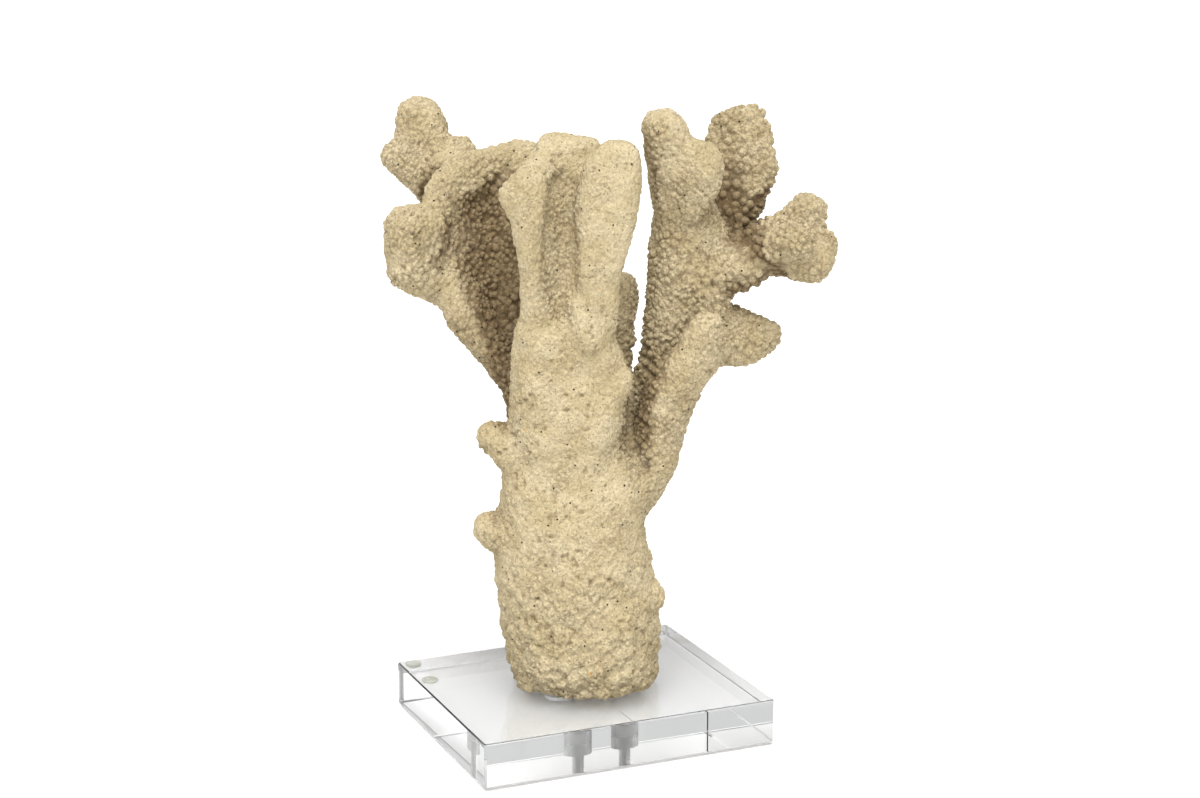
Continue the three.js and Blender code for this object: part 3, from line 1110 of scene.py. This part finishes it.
def floor_material():
    """Matt pale paper, very slightly clouded."""
    make = Nodes("studio_floor")
    tone = settings().studio.floor
    cloud = make.noise(0.8, detail=2)
    shade = rgba(tuple(0.985 * v for v in tone))
    make.put(make.shader, "Base Color", make.mix(make.ranged(cloud, 0.3, 0.7), rgba(tone), shade))
    make.shader.inputs["Roughness"].default_value = 0.9
    make.shader.inputs["Specular IOR Level"].default_value = 0.1
    return make.material


def make_floor():
    """A square, its sides twice the reach, at the height of the pads' undersides."""
    reach = 20.0
    corners = reach * np.array([(-1, -1, 0), (1, -1, 0), (1, 1, 0), (-1, 1, 0)])
    floor = new_piece("studio_floor", corners, np.array([[0, 1, 2, 3]]), [floor_material()])


def make_light():
    """Soft light from above the camera, as even over the whole floor as over the object."""
    studio = settings().studio
    data = bpy.data.lights.new("light_above", "SUN")
    data.angle = studio.spread
    data.energy = studio.light
    light = bpy.data.objects.new("light_above", data)
    light.rotation_euler = (-Vector(LIGHT_WAY)).to_track_quat("-Z", "Y").to_euler()
    bpy.context.scene.collection.objects.link(light)


def make_camera():
    """The camera, at its distance from the point that it looks at, turned and raised by its
    azimuth and elevation."""
    studio = settings().studio
    low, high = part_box("acrylic_base")
    middle = (low + high) / 2
    aim = Vector((middle.x + studio.aim_side, middle.y, low.z + studio.aim_height))
    level = math.cos(studio.elevation)
    back = Vector((
        math.sin(studio.azimuth) * level, -math.cos(studio.azimuth) * level,
        math.sin(studio.elevation),
    ))
    data = bpy.data.cameras.new("camera")
    data.lens = studio.lens
    data.sensor_width = 36.0
    camera = bpy.data.objects.new("camera", data)
    camera.location = aim + back * studio.distance
    camera.rotation_euler = (-back).to_track_quat("-Z", "Y").to_euler()
    bpy.context.scene.collection.objects.link(camera)
    bpy.context.scene.camera = camera


def make_sky():
    """Even white light from all round."""
    world = bpy.data.worlds.new("studio_sky")
    world.use_nodes = True
    background = world.node_tree.nodes["Background"]
    background.inputs["Color"].default_value = (1.0, 1.0, 1.0, 1.0)
    background.inputs["Strength"].default_value = settings().studio.sky
    bpy.context.scene.world = world


class CORAL_OT_stage(bpy.types.Operator):
    """Make the pale floor, the soft light and the camera"""

    bl_idname = "coral_on_stand.stage"
    bl_label = "Studio"

    def execute(self, context):
        context.scene.view_settings.view_transform = "Standard"
        make_floor()
        make_sky()
        make_light()
        make_camera()
        return {"FINISHED"}


# ---------------------------------------------------------------- add-on


class CoralOnStand(bpy.types.PropertyGroup):
    """All that a user would change"""

    sizes: bpy.props.PointerProperty(type=CoralSizes)
    colours: bpy.props.PointerProperty(type=CoralColours)
    stand: bpy.props.PointerProperty(type=StandSizes)
    studio: bpy.props.PointerProperty(type=StudioSettings)


class CORAL_PT_sidebar(bpy.types.Panel):
    """The sizes and colours, and a button for each group of pieces"""

    bl_idname = "CORAL_PT_sidebar"
    bl_label = "Coral on a clear stand"
    bl_space_type = "VIEW_3D"
    bl_region_type = "UI"
    bl_category = "Coral"

    def draw(self, context):
        for group in ("sizes", "colours", "stand", "studio"):
            values = getattr(context.scene.coral_on_stand, group)
            box = self.layout.box()
            box.label(text=group.capitalize())
            for name in type(values).__annotations__:
                box.prop(values, name)
        for operator in OPERATORS:
            self.layout.operator(operator.bl_idname)


OPERATORS = (CORAL_OT_grow, CORAL_OT_block, CORAL_OT_screws, CORAL_OT_pads, CORAL_OT_stage)
GROUPS = (CoralSizes, CoralColours, StandSizes, StudioSettings, CoralOnStand)


def register():
    for group in (*GROUPS, *OPERATORS, CORAL_PT_sidebar):
        bpy.utils.register_class(group)
    bpy.types.Scene.coral_on_stand = bpy.props.PointerProperty(type=CoralOnStand)


def unregister():
    del bpy.types.Scene.coral_on_stand
    for group in (CORAL_PT_sidebar, *reversed(OPERATORS), *reversed(GROUPS)):
        bpy.utils.unregister_class(group)


def main():
    register()
    bpy.ops.coral_on_stand.grow()
    bpy.ops.coral_on_stand.block()
    bpy.ops.coral_on_stand.screws()
    bpy.ops.coral_on_stand.pads()
    bpy.ops.coral_on_stand.stage()


if __name__ == "__main__":
    main()
